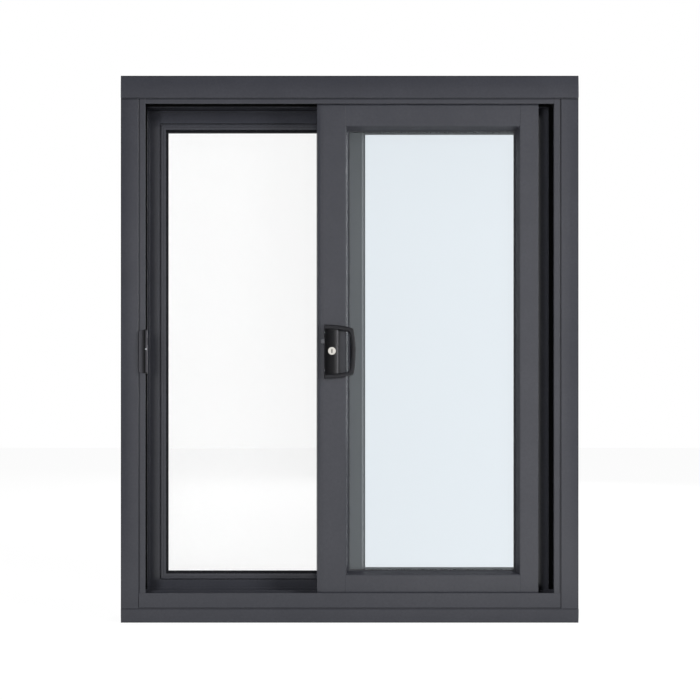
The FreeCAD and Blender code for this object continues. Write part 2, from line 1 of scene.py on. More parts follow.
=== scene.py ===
import bmesh
import bpy
import json
from bpy.props import FloatProperty, FloatVectorProperty, IntProperty, PointerProperty
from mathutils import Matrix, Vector


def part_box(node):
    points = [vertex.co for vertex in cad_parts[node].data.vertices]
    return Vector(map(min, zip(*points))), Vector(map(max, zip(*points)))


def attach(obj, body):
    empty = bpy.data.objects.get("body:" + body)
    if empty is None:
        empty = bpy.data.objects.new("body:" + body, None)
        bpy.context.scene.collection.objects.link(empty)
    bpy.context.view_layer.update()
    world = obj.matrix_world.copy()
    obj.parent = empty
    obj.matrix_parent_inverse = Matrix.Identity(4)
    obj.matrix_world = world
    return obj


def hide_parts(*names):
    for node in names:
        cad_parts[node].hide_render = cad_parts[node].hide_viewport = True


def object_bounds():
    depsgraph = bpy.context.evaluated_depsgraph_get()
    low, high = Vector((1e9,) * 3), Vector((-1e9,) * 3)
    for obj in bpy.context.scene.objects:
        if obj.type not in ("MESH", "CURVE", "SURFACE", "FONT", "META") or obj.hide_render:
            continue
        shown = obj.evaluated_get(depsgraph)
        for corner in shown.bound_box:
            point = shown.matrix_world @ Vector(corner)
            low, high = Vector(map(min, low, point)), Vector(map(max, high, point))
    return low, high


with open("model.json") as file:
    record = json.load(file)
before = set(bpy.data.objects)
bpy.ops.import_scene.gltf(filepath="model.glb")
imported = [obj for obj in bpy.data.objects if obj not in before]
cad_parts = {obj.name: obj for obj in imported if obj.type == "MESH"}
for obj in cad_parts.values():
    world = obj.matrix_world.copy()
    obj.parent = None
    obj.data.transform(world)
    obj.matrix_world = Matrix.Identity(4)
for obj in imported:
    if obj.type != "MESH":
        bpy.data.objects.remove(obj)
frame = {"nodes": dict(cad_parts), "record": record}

CAD_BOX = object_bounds()
NODES = frame["nodes"]

bl_info = {
    "name": "Sliding window",
    "version": (1, 0, 0),
    "blender": (4, 5, 0),
    "location": "3D View > Sidebar > Window",
    "description": "Finishes, woven wire, pile seals, screws and stage for a sliding window",
    "category": "Object",
}

FRAME_MEMBERS = ("head", "sill", "left_jamb", "right_jamb")
FIXED_MEMBERS = ("fixed_interlock_stile", "fixed_jamb_stile", "fixed_top_rail",
                 "fixed_bottom_rail", "fixed_beads")
SCREEN_MEMBERS = ("screen_left_stile", "screen_right_stile", "screen_top_rail",
                  "screen_bottom_rail")
SASH_MEMBERS = ("sash_lock_stile", "sash_interlock_stile", "sash_top_rail",
                "sash_bottom_rail", "sash_beads")
ROOM_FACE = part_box("head")[0].y
MM = 0.001
GROOVE_DEPTH = 2.0 * MM
SKIN = 0.2 * MM

# Painted shade on the frame's dark lines: share of full shade in grooves and at the head's
# joint
GROOVE_SHADE = 0.4
JOINT_SHADE = 0.7
JOINT_DROP = 1.2 * MM
JOINT_HALF = 1.1 * MM
LIP_STEP = 0.4 * MM
LIP_HALF = 0.3 * MM

# Painted highlight on the handle's body and painted shade on the keeper, measured inwards from
# the edges of the piece
HIGHLIGHT_INSET = 2.8 * MM
HIGHLIGHT_FADE = (2.2 * MM, 0.6 * MM)
RAMP_INSETS = (3.5 * MM, 5.0 * MM)
STRIP_INSETS = (2.7 * MM, 3.9 * MM)
END_BAND = 2.2 * MM
KEYWAY_HALF = 1.3 * MM

# Cord: core as a share of its radius, rib as a share of the pitch
CORD_CORE = 0.62
CORD_RIB = 0.55

# Pile: share of the strip that carries fibres, tips' lean, fibre radius, head fin's height
PILE_SPREAD = 0.6
PILE_LEAN = 0.9 * MM
PILE_FIBRE = 0.35 * MM
FIN_RISE = 5.4 * MM

# Screws: shares of the head's radius, then places from the edges of the piece they hold
DOME_FLATNESS = 0.5
RECESS = (1.1, 0.2, 0.6)
WASHER_WIDTH = 1.3
WASHER_DEPTH = 0.3
KEEPER_SCREW_INSET = 2.6 * MM
KEEPER_SCREW_RISE = 5 * MM
HANDLE_SCREW_DEPTH = 6 * MM
HANDLE_SCREW_FOOT = 8 * MM
HANDLE_SCREW_TOP = 7 * MM

# Lamps in metres: name, size across and up, place; all aim at the window's middle
LAMPS = (("key", (1.6, 2.2), (3.8, -2.8, 1.3)),
         ("front", (0.8, 1.5), (-1.15, -3.1, 0.9)),
         ("back", (2.0, 2.0), (1.0, 3.5, 1.8)))
LAMP_TARGET = (0, 0, 0.6)

# Room in gloss by direction: axis, where a fade starts and ends, and its light there
ROOM_FADES = (("X", -0.3, -0.1, 0.0, 1.69), ("X", 0.02, 0.25, 1.0, 1.4),
              ("X", 0.43, 0.29, 0.3, 1.0), ("Z", 0.46, 0.14, 0.0, 1.0))
FAR_LEFT = ("X", -0.5, -0.8, 0.0, 1.3)
GLOW_WAY = (0.807, -0.572, 0.12)
GLOW_SCALE = (1.0, 1.0, 0.45)
GLOW_EDGE = (0.3, 0.14)
GLOW_LIGHT = 15.6
WORLD_BEHIND = (-0.2, 0.1)

# Floor: half its side and the band in metres where its back begins, then its paint, and
# what the camera sees of it, which is mostly its own light so that it renders white
FLOOR_REACH = 8.0
FLOOR_BEHIND = (-0.6, 0.0)
FLOOR_PAINT = 0.8
FLOOR_SHADE = 0.14
FLOOR_GLOW = 0.95


def linear(hex_text):
    """sRGB hex to linear red, green and blue."""
    levels = [int(hex_text[i:i + 2], 16) / 255 for i in (1, 3, 5)]
    return [c / 12.92 if c <= 0.04045 else ((c + 0.055) / 1.055) ** 2.4 for c in levels]


def add(tree, kind, settings=None, values=None, links=None):
    """Adds a node with its options, input values and incoming links."""
    node = tree.nodes.new(kind)
    for name, value in (settings or {}).items():
        setattr(node, name, value)
    for key, value in (values or {}).items():
        node.inputs[key].default_value = value
    for key, source in (links or {}).items():
        tree.links.new(source, node.inputs[key])
    return node


def calc(tree, operation, *terms, kind="ShaderNodeMath", **options):
    """Result of a maths node on sockets and plain values, in the order of its inputs."""
    node = add(tree, kind, dict(options, operation=operation))
    for entry, term in zip(node.inputs, terms):
        if isinstance(term, bpy.types.NodeSocket):
            tree.links.new(term, entry)
        else:
            entry.default_value = term
    return node.outputs[0]


def vector(tree, operation, *terms):
    return calc(tree, operation, *terms, kind="ShaderNodeVectorMath")


def scaled(tree, way, factor):
    """A vector times a socket or plain value."""
    node = add(tree, "ShaderNodeVectorMath", {"operation": "SCALE"}, links={0: way})
    if isinstance(factor, bpy.types.NodeSocket):
        tree.links.new(factor, node.inputs["Scale"])
    else:
        node.inputs["Scale"].default_value = factor
    return node.outputs[0]


def length(tree, way):
    node = add(tree, "ShaderNodeVectorMath", {"operation": "LENGTH"}, links={0: way})
    return node.outputs["Value"]


def smooth(tree, value, start, end, low=0.0, high=1.0):
    """Smooth step from low at the start to high at the end."""
    step = add(tree, "ShaderNodeMapRange", {"interpolation_type": "SMOOTHSTEP"},
               {"From Min": start, "From Max": end, "To Min": low, "To Max": high},
               {"Value": value})
    return step.outputs["Result"]


def colour_property(name, text, hex_text):
    return FloatVectorProperty(name=name, description=text, subtype="COLOR", size=3,
                               min=0, max=1, default=linear(hex_text))


def length_property(name, text, millimetres):
    return FloatProperty(name=name, description=text, unit="LENGTH", min=0, precision=5,
                         default=millimetres * MM)


class SlidingWindowFinishes(bpy.types.PropertyGroup):
    """Colours of the finishes."""
    coat: colour_property("Coat", "Powder coat of the extrusions", "#36373d")
    coat_light: colour_property("Coat, lighter", "Lighter patches of the coat", "#3b3c42")
    cut_end: colour_property("Cut end", "Sawn ends of the extrusions", "#b9bcbe")
    handle: colour_property("Handle", "Coat of the handle's body", "#0c0c0e")
    grip: colour_property("Grip", "Coat of the handle's grip", "#1c1c1f")
    # painted highlight along the edge of the handle's body
    edge_highlight: colour_property("Highlight", "Worn edge of the handle's body", "#404043")
    tongue: colour_property("Tongue", "Coat of the latch's tongue", "#4c4d51")
    keeper: colour_property("Keeper", "Coat of the keeper", "#3e3e42")
    rubber: colour_property("Rubber", "Cord that holds the screen's wires", "#34353a")
    gasket: colour_property("Gasket", "Glazing rubber", "#36373b")
    glass: colour_property("Glass", "Tint of a pane seen straight through", "#eef2f5")
    wire: colour_property("Wire", "Wire of the insect screen", "#e6e7e7")
    pile: colour_property("Pile", "Fibres of the pile seals", "#060607")
    nickel: colour_property("Nickel", "Key cylinder", "#bebbb5")
    zinc: colour_property("Zinc", "Screws and roller carriages", "#b8bcc0")
    nylon: colour_property("Nylon", "Roller wheels", "#c8c6bd")


class SlidingWindowSizes(bpy.types.PropertyGroup):
    """Sizes of what the finishes add."""
    wire_pitch: length_property("Wire pitch", "From one wire to the next", 1.6)
    wire_width: length_property("Wire width", "Thickness of one wire", 0.11)
    lip: length_property("Lip", "Thickness of the frame's room lip", 3.0)
    fin_gap: length_property("Fin gap", "From the sash to the frame's first fin", 5.0)
    pile_height: length_property("Pile height", "Fibre length above the strip", 3.6)
    pile_width: length_property("Pile width", "Width of a pile strip behind a lip", 5.0)
    fin_pile_width: length_property("Fin pile width", "Width of a pile strip on a fin", 10.0)
    pile_backing: length_property("Pile backing", "Thickness of the strip", 0.8)
    pile_spacing: length_property("Pile spacing", "From one tuft to the next", 1.1)
    pile_rows: IntProperty(name="Pile rows", description="Tufts across the strip",
                           min=1, default=4)
    rib_pitch: length_property("Rib pitch", "Ribs along the spline", 8.0)
    fixing_head: length_property("Fixing head", "Radius of a frame screw's head", 6.0)
    small_head: length_property("Small head", "Radius of a small screw's head", 1.8)
    floor: length_property("Channel floor", "From the jamb's outside to its channel", 34.0)


class SlidingWindowStage(bpy.types.PropertyGroup):
    """Camera and light."""
    distance: length_property("Distance", "From the frame's room face to the camera", 2200.0)
    across: length_property("Across", "Camera's place left of the middle", 187.2)
    height: length_property("Height", "Camera's place above the sill's underside", 486.6)
    lens: FloatProperty(name="Lens", description="Focal length on a 36 mm sensor",
                        unit="CAMERA", default=51.83)
    shift_x: FloatProperty(name="Shift X", description="Sideways shift", default=0.1229)
    shift_y: FloatProperty(name="Shift Y", description="Upward shift", default=0.0714)
    key: FloatProperty(name="Key", description="Right lamp", unit="POWER", default=175)
    front: FloatProperty(name="Front", description="Front left lamp", unit="POWER", default=58)
    back: FloatProperty(name="Back", description="Lamp behind the window", unit="POWER",
                        default=60)
    fill: FloatProperty(name="Fill", description="Light of the surroundings", default=0.09)


def make_material(name):
    material = bpy.data.materials.new(name)
    material.use_nodes = True
    material.node_tree.nodes.clear()
    return material


def surface(material, values, links=None):
    """Principled surface with its output."""
    tree = material.node_tree
    shader = add(tree, "ShaderNodeBsdfPrincipled", values=values, links=links)
    add(tree, "ShaderNodeOutputMaterial", links={"Surface": shader.outputs["BSDF"]})
    return material


def rgba(colour):
    return (colour[0], colour[1], colour[2], 1.0)


def noise(tree, size, detail=2.0):
    """Noise on the piece itself, with cells of that many millimetres."""
    place = add(tree, "ShaderNodeTexCoord").outputs["Object"]
    cells = add(tree, "ShaderNodeTexNoise", values={"Scale": 1 / (size * MM), "Detail": detail},
                links={"Vector": place})
    return cells.outputs["Fac"]


def between(tree, share, low, high):
    """Colour that runs from low to high with the share."""
    mix = add(tree, "ShaderNodeMix", {"data_type": "RGBA"}, {6: rgba(low), 7: rgba(high)},
              {0: share})
    return mix.outputs[2]


def over(tree, share, under, colour):
    """A colour laid over a colour socket by its share."""
    mix = add(tree, "ShaderNodeMix", {"data_type": "RGBA"}, {7: rgba(colour)},
              {0: share, 6: under})
    return mix.outputs[2]


def span(tree, value, low, high, start=0.0, end=1.0):
    """Even run from low at the start to high at the end."""
    run = add(tree, "ShaderNodeMapRange",
              values={"From Min": start, "From Max": end, "To Min": low, "To Max": high},
              links={"Value": value})
    return run.outputs["Result"]


def times(factor, colour):
    return [factor * c for c in colour]


def powder_coated_aluminium(finish):
    # Extruded aluminium, sprayed with powder and cured: an even satin skin with a faint
    # orange peel. Peel of about 1 mm is drawn at 5 mm, so that it shows. Saws leave the
    # ends of head and sill bare. The floors of the grooves, the head's joint and the screen's
    # inner lip get painted shade: darker colour and less gloss.
    material = make_material("powder_coated_aluminium")
    tree = material.node_tree
    peel = noise(tree, 5, 3.0)
    patches = calc(tree, "MULTIPLY", peel, noise(tree, 90))
    paint = between(tree, span(tree, patches, 0.0, 1.0, 0.1, 0.45), finish.coat,
                    finish.coat_light)
    axes = on_piece(tree)
    reach = calc(tree, "ABSOLUTE", axes.outputs["X"])
    side = calc(tree, "GREATER_THAN", reach, CAD_BOX[1][0] - SKIN)
    foot, top = (corner.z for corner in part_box("left_jamb"))
    jamb = calc(tree, "COMPARE", axes.outputs["Z"], (foot + top) / 2, (top - foot) / 2)
    end = calc(tree, "GREATER_THAN", side, jamb)
    # painted shade: grooves, the head's joint and the screen's inner lip made darker and duller
    line = painted_line_shade(tree, axes)
    colour = over(tree, line, over(tree, end, paint, finish.cut_end), times(0.25, finish.coat))
    relief = add(tree, "ShaderNodeBump", values={"Strength": 1.0, "Distance": 0.004 * MM},
                 links={"Height": peel})
    return surface(material, {"IOR": 1.5},
                   {"Base Color": colour, "Metallic": end,
                    "Roughness": span(tree, peel, 0.15, 0.21),
                    "Specular IOR Level": span(tree, line, 0.246, 0.062),
                    "Normal": relief.outputs["Normal"]})


def on_piece(tree):
    """Axes of the place on the piece."""
    place = add(tree, "ShaderNodeTexCoord").outputs["Object"]
    return add(tree, "ShaderNodeSeparateXYZ", links={"Vector": place})


def painted_line_shade(tree, axes):
    """Share of painted shade in the frame's grooves, under the head and on the screen's inner
    lip.
    """
    depth, height = axes.outputs["Y"], axes.outputs["Z"]
    facing = add(tree, "ShaderNodeTexCoord").outputs["Normal"]
    lean = add(tree, "ShaderNodeSeparateXYZ", links={"Vector": facing})
    forward = calc(tree, "LESS_THAN", lean.outputs["Y"], -0.9)
    groove = calc(tree, "COMPARE", depth, ROOM_FACE + GROOVE_DEPTH, SKIN)
    lip = calc(tree, "COMPARE", depth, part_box("screen_mesh")[0].y - LIP_STEP, LIP_HALF)
    joint = calc(tree, "COMPARE", height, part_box("left_jamb")[1].z - JOINT_DROP, JOINT_HALF)
    lines = calc(tree, "MULTIPLY_ADD", joint, JOINT_SHADE, lip)
    shaded = calc(tree, "MULTIPLY_ADD", groove, GROOVE_SHADE, lines, use_clamp=True)
    return calc(tree, "MULTIPLY", forward, shaded)


def black_casting(finish):
    return coated_die_casting("black_coated_die_casting", finish.handle, 0.108)


def highlighted_black_casting(finish):
    # black coat with a painted highlight along the body's edge
    return coated_die_casting("rubbed_black_die_casting", finish.handle, 0.108,
                              painted_edge_highlight, finish.edge_highlight)


def charcoal_casting(finish):
    return coated_die_casting("charcoal_coated_die_casting", finish.grip, 0.185)


def satin_casting(finish):
    return coated_die_casting("satin_grey_die_casting", finish.tongue, 0.308)


def shaded_grey_casting(finish):
    # grey coat with painted shade on the keeper's ramp and ends
    return coated_die_casting("ramped_grey_die_casting", finish.keeper, 0.115,
                              painted_keeper_shade, finish.handle)


def painted_edge_highlight(tree, axes):
    """Painted highlight: the body's coat is lighter along the edge beside the grip."""
    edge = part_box("handle_body")[1].x - HIGHLIGHT_INSET
    far = calc(tree, "ABSOLUTE", calc(tree, "SUBTRACT", axes.outputs["X"], edge))
    return smooth(tree, far, *HIGHLIGHT_FADE)


def painted_keeper_shade(tree, axes):
    """Painted shade: the keeper darkens towards its pale strip, and along its ends."""
    low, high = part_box("keeper")
    across = axes.outputs["X"]
    ramp = smooth(tree, across, low.x + RAMP_INSETS[0], high.x - RAMP_INSETS[1])
    strip = smooth(tree, across, high.x - STRIP_INSETS[0], high.x - STRIP_INSETS[1])
    up = calc(tree, "SUBTRACT", axes.outputs["Z"], (low.z + high.z) / 2)
    far = calc(tree, "ABSOLUTE", up)
    end = calc(tree, "GREATER_THAN", far, (high.z - low.z) / 2 - END_BAND)
    return calc(tree, "MAXIMUM", calc(tree, "MULTIPLY", ramp, strip), end)


def coated_die_casting(name, colour, gloss, mark=None, tone=None):
    # Die-cast zinc under a dark satin coat: soft bright lines on round edges. Its grit of
    # about 0.4 mm is drawn at 1.5 mm, so that it shows. Marks paint a highlight or shade on
    # some pieces.
    material = make_material(name)
    tree = material.node_tree
    grit = noise(tree, 1.5, 4.0)
    shade = between(tree, grit, times(0.8, colour), times(1.25, colour))
    if mark:
        shade = over(tree, mark(tree, on_piece(tree)), shade, tone)
    relief = add(tree, "ShaderNodeBump", values={"Strength": 1.0, "Distance": 0.03 * MM},
                 links={"Height": grit})
    return surface(material, {"IOR": 1.5, "Specular IOR Level": gloss},
                   {"Base Color": shade, "Roughness": span(tree, grit, 0.34, 0.46),
                    "Normal": relief.outputs["Normal"]})


def float_glass(finish):
    return glass("float_glass", finish.glass, 1.0)


def coated_glass(finish):
    return glass("low_reflection_float_glass", finish.glass, 0.2)


def glass(name, colour, mirror):
    # Float glass, 6 mm: polished by its making, pale blue-green in its depth, with a
    # barely seen draw wave about 80 mm long. The rear pane's coat keeps mirror images off it.
    material = make_material(name)
    tree = material.node_tree
    tint = between(tree, noise(tree, 80, 1.0), times(0.995, colour), colour)
    return surface(material, {"IOR": 1.52, "Roughness": 0.0, "Transmission Weight": 1.0,
                              "Specular Tint": rgba(times(mirror, (0.9, 0.97, 1.0)))},
                   {"Base Color": tint})


def extruded_rubber(finish):
    return extrusion("extruded_black_rubber", finish.rubber)


def glazing_rubber(finish):
    return extrusion("extruded_grey_rubber", finish.gasket)


def extrusion(name, colour):
    # Extruded EPDM: dull and dark, with a bloom that greys it in patches a few mm across.
    material = make_material(name)
    tree = material.node_tree
    shade = between(tree, noise(tree, 6, 3.0), times(0.7, colour), times(1.3, colour))
    return surface(material, {"IOR": 1.5, "Roughness": 0.62, "Specular IOR Level": 0.23},
                   {"Base Color": shade})


def drawn_wire(finish):
    # Drawn aluminium wire: pale, a little streaky along its length.
    material = make_material("drawn_aluminium_wire")
    tree = material.node_tree
    shade = between(tree, noise(tree, 12), times(0.92, finish.wire), finish.wire)
    return surface(material, {"Metallic": 1.0, "Roughness": 0.45}, {"Base Color": shade})


def woven_pile(finish):
    # Polypropylene fibre, dyed black and woven into a backing: soft and almost without gloss.
    material = make_material("polypropylene_pile")
    tree = material.node_tree
    shade = between(tree, noise(tree, 2.5), times(0.5, finish.pile), times(1.5, finish.pile))
    return surface(material, {"IOR": 1.49, "Roughness": 0.8, "Specular IOR Level": 0.154},
                   {"Base Color": shade})


def plated_metal(name, colour, roughness):
    # Metal plated and left satin: grey, with fine polishing marks about 0.8 mm apart.
    material = make_material(name)
    tree = material.node_tree
    marks = noise(tree, 0.8, 3.0)
    return surface(material, {"Metallic": 1.0},
                   {"Base Color": between(tree, marks, times(0.85, colour), colour),
                    "Roughness": span(tree, marks, 0.8 * roughness, 1.2 * roughness)})


def moulded_nylon(finish):
    # Moulded polyamide: off-white, satin, faintly cloudy.
    material = make_material("moulded_nylon")
    tree = material.node_tree
    shade = between(tree, noise(tree, 7), times(0.88, finish.nylon), finish.nylon)
    return surface(material, {"IOR": 1.53, "Roughness": 0.4}, {"Base Color": shade})


def material(maker):
    """The material of that maker, made once."""
    key = "made_by_" + maker.__name__
    for found in bpy.data.materials:
        if found.get(key):
            return found
    made = maker(bpy.context.scene.sliding_window_finishes)
    made[key] = True
    return made


def plated_zinc(finish):
    return plated_metal("zinc_plated_steel", finish.zinc, 0.38)


def plated_nickel(finish):
    return plated_metal("satin_nickel_plate", finish.nickel, 0.3)


def nickel_with_painted_keyway(finish):
    # Nickel-plated plug: pale satin face, with painted shade that makes the inside of the
    # keyway black.
    material = plated_nickel(finish)
    material.name = "satin_nickel_plug"
    tree = material.node_tree
    low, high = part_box("lock_cylinder")
    axes = on_piece(tree)
    near = calc(tree, "COMPARE", axes.outputs["X"], (low.x + high.x) / 2, KEYWAY_HALF)
    deep = calc(tree, "GREATER_THAN", axes.outputs["Y"], low.y + SKIN)
    shader = next(n for n in tree.nodes if n.type == "BSDF_PRINCIPLED")
    base = shader.inputs["Base Color"]
    # painted shade: the inside of the keyway is coloured black
    keyway = calc(tree, "MULTIPLY", near, deep)
    tree.links.new(over(tree, keyway, base.links[0].from_socket, finish.pile), base)
    return material


def dress(names, finish):
    for name in names:
        slots = NODES[name].data.materials
        slots.clear()
        slots.append(finish)


def new_tree(name, inputs):
    """Geometry Nodes tree with named inputs; gives the tree and its input node's outputs."""
    tree = bpy.data.node_groups.new(name, "GeometryNodeTree")
    tree.interface.new_socket("Geometry", in_out="OUTPUT", socket_type="NodeSocketGeometry")
    for label, kind in inputs:
        tree.interface.new_socket(label, in_out="INPUT", socket_type=kind)
    return tree, add(tree, "NodeGroupInput").outputs


def close_tree(tree, shapes, finish):
    """Joins the shapes, makes instances real and gives them their material."""
    join = add(tree, "GeometryNodeJoinGeometry")
    for shape in shapes:
        tree.links.new(shape, join.inputs[0])
    real = add(tree, "GeometryNodeRealizeInstances", links={0: join.outputs[0]})
    painted = add(tree, "GeometryNodeSetMaterial", values={"Material": finish},
                  links={"Geometry": real.outputs[0]})
    add(tree, "NodeGroupOutput", links={0: painted.outputs[0]})


def grow(tree, values, points=()):
    """Runs a tree on a mesh of points and gives the plain mesh it makes."""
    seed = bpy.data.meshes.new("seed")
    seed.from_pydata([tuple(p) for p in points], [], [])
    host = bpy.data.objects.new("host", seed)
    bpy.context.scene.collection.objects.link(host)
    modifier = host.modifiers.new("grow", "NODES")
    modifier.node_group = tree
    for item in tree.interface.items_tree:
        if item.in_out == "INPUT" and item.name in values:
            modifier[item.identifier] = values[item.name]
    graph = bpy.context.evaluated_depsgraph_get()
    mesh = bpy.data.meshes.new_from_object(host.evaluated_get(graph), depsgraph=graph)
    bpy.data.objects.remove(host)
    bpy.data.meshes.remove(seed)
    return mesh


def piece_of(name, meshes, body, replaced=()):
    """One plain mesh piece from several meshes, riding on a body."""
    joined = bmesh.new()
    for mesh in meshes:
        joined.from_mesh(mesh)
    result = bpy.data.meshes.new(name)
    joined.to_mesh(result)
    joined.free()
    for finish in meshes[0].materials:
        result.materials.append(finish)
    for mesh in meshes:
        bpy.data.meshes.remove(mesh)
    if not result.polygons:
        raise RuntimeError(name + " came out empty")
    piece = bpy.data.objects.new(name, result)
    bpy.context.scene.collection.objects.link(piece)
    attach(piece, body)
    if replaced:
        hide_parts(*replaced)
    return piece


class SLIDINGWINDOW_OT_coat_extrusions(bpy.types.Operator):
    """Powder coat on all extrusions and beads"""
    bl_idname = "sliding_window.coat_extrusions"
    bl_label = "Coat extrusions"

    def execute(self, context):
        coat = material(powder_coated_aluminium)
        dress(FRAME_MEMBERS + FIXED_MEMBERS + SCREEN_MEMBERS + SASH_MEMBERS, coat)
        return {"FINISHED"}


class SLIDINGWINDOW_OT_glaze(bpy.types.Operator):
    """Panes and their rubbers"""
    bl_idname = "sliding_window.glaze"
    bl_label = "Glaze"

    def execute(self, context):
        dress(("sash_glass",), material(float_glass))
        dress(("fixed_glass",), material(coated_glass))
        dress(("sash_gaskets", "fixed_gaskets"), material(glazing_rubber))
        return {"FINISHED"}


class SLIDINGWINDOW_OT_finish_handle(bpy.types.Operator):
    """Handle, latch, keeper and key cylinder"""
    bl_idname = "sliding_window.finish_handle"
    bl_label = "Finish handle"

    def execute(self, context):
        dress(("handle_base",), material(black_casting))
        dress(("handle_body",), material(highlighted_black_casting))
        dress(("handle_grip",), material(charcoal_casting))
        dress(("keeper",), material(shaded_grey_casting))
        dress(("latch_tongue",), material(satin_casting))
        dress(("lock_cylinder",), material(nickel_with_painted_keyway))
        return {"FINISHED"}


class SLIDINGWINDOW_OT_finish_rollers(bpy.types.Operator):
    """Wheels and carriages under the sash"""
    bl_idname = "sliding_window.finish_rollers"
    bl_label = "Finish rollers"

    def execute(self, context):
        dress(("roller_wheels",), material(moulded_nylon))
        dress(("roller_carriages",), material(plated_zinc))
        return {"FINISHED"}


def woven_wire_tree(finish):
    """Upright and level wires over a rectangle, one layer on the other."""
    tree, given = new_tree("woven_wire", [
        ("Low", "NodeSocketVector"), ("Size", "NodeSocketVector"),
        ("Pitch", "NodeSocketFloat"), ("Width", "NodeSocketFloat")])
    size = add(tree, "ShaderNodeSeparateXYZ", links={0: given["Size"]})
    section = add(tree, "GeometryNodeCurvePrimitiveCircle", values={"Resolution": 5},
                  links={"Radius": calc(tree, "MULTIPLY", given["Width"], 0.5)})
    shapes = []
    for step_axis, run_axis in (("X", "Z"), ("Z", "X")):
        count = calc(tree, "DIVIDE", size.outputs[step_axis], given["Pitch"])
        step = add(tree, "ShaderNodeCombineXYZ", links={step_axis: given["Pitch"]})
        run = add(tree, "ShaderNodeCombineXYZ", links={run_axis: size.outputs[run_axis]})
        lift = add(tree, "ShaderNodeCombineXYZ",
                   links={"Y": given["Width"]} if step_axis == "Z" else {})
        start = vector(tree, "ADD", given["Low"], lift.outputs[0])
        row = add(tree, "GeometryNodeMeshLine", links={
            "Count": count, "Start Location": start, "Offset": step.outputs[0]})
        line = add(tree, "GeometryNodeCurvePrimitiveLine", links={"End": run.outputs[0]})
        wire = add(tree, "GeometryNodeCurveToMesh", values={"Fill Caps": True},
                   links={"Curve": line.outputs[0], "Profile Curve": section.outputs[0]})
        set_out = add(tree, "GeometryNodeInstanceOnPoints",
                      links={"Points": row.outputs[0], "Instance": wire.outputs[0]})
        shapes.append(set_out.outputs[0])
    close_tree(tree, shapes, finish)
    return tree


def ribbed_cord_tree(finish):
    """Round core from start to end, with ribs strung along it."""
    tree, given = new_tree("ribbed_cord", [
        ("Start", "NodeSocketVector"), ("End", "NodeSocketVector"),
        ("Pitch", "NodeSocketFloat"), ("Radius", "NodeSocketFloat")])
    run = vector(tree, "SUBTRACT", given["End"], given["Start"])
    count = calc(tree, "DIVIDE", length(tree, run), given["Pitch"])
    row = add(tree, "GeometryNodeMeshLine", {"mode": "END_POINTS"}, links={
        "Count": count, "Start Location": given["Start"], "Offset": given["End"]})
    core_line = add(tree, "GeometryNodeCurvePrimitiveLine",
                    links={"Start": given["Start"], "End": given["End"]})
    core_section = add(tree, "GeometryNodeCurvePrimitiveCircle", values={"Resolution": 8},
                       links={"Radius": calc(tree, "MULTIPLY", given["Radius"], CORD_CORE)})
    core = add(tree, "GeometryNodeCurveToMesh", values={"Fill Caps": True},
               links={"Curve": core_line.outputs[0], "Profile Curve": core_section.outputs[0]})
    rib = add(tree, "GeometryNodeMeshCylinder", values={"Vertices": 10},
              links={"Radius": given["Radius"],
                     "Depth": calc(tree, "MULTIPLY", given["Pitch"], CORD_RIB)})
    turn = add(tree, "FunctionNodeAlignRotationToVector", {"axis": "Z"}, links={"Vector": run})
    ribs = add(tree, "GeometryNodeInstanceOnPoints",
               links={"Points": row.outputs[0], "Instance": rib.outputs["Mesh"],
                      "Rotation": turn.outputs[0]})
    close_tree(tree, [core.outputs[0], ribs.outputs[0]], finish)
    return tree


class SLIDINGWINDOW_OT_hang_screen(bpy.types.Operator):
    """Woven wire of the insect screen and the ribbed spline that holds it"""
    bl_idname = "sliding_window.hang_screen"
    bl_label = "Hang insect screen"

    def execute(self, context):
        sizes = context.scene.sliding_window_sizes
        low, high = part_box("screen_mesh")
        tree = woven_wire_tree(material(drawn_wire))
        middle = (low.y + high.y) / 2
        wires = grow(tree, {"Low": (low.x, middle, low.z), "Size": high - low,
                            "Pitch": sizes.wire_pitch, "Width": sizes.wire_width})
        piece_of("insect_screen_wires", [wires], "frame", ("screen_mesh",))
        low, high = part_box("screen_spline")
        radius = (high.y - low.y) / 2
        y = (low.y + high.y) / 2
        tree = ribbed_cord_tree(material(extruded_rubber))
        corners = [(low.x + radius, low.z + radius), (high.x - radius, low.z + radius),
                   (high.x - radius, high.z - radius), (low.x + radius, high.z - radius)]
        sides = []
        for i, (x, z) in enumerate(corners):
            next_x, next_z = corners[(i + 1) % 4]
            sides.append(grow(tree, {"Start": (x, y, z), "End": (next_x, y, next_z),
                                     "Pitch": sizes.rib_pitch, "Radius": radius}))
        piece_of("screen_spline_cord", sides, "frame", ("screen_spline",))
        return {"FINISHED"}


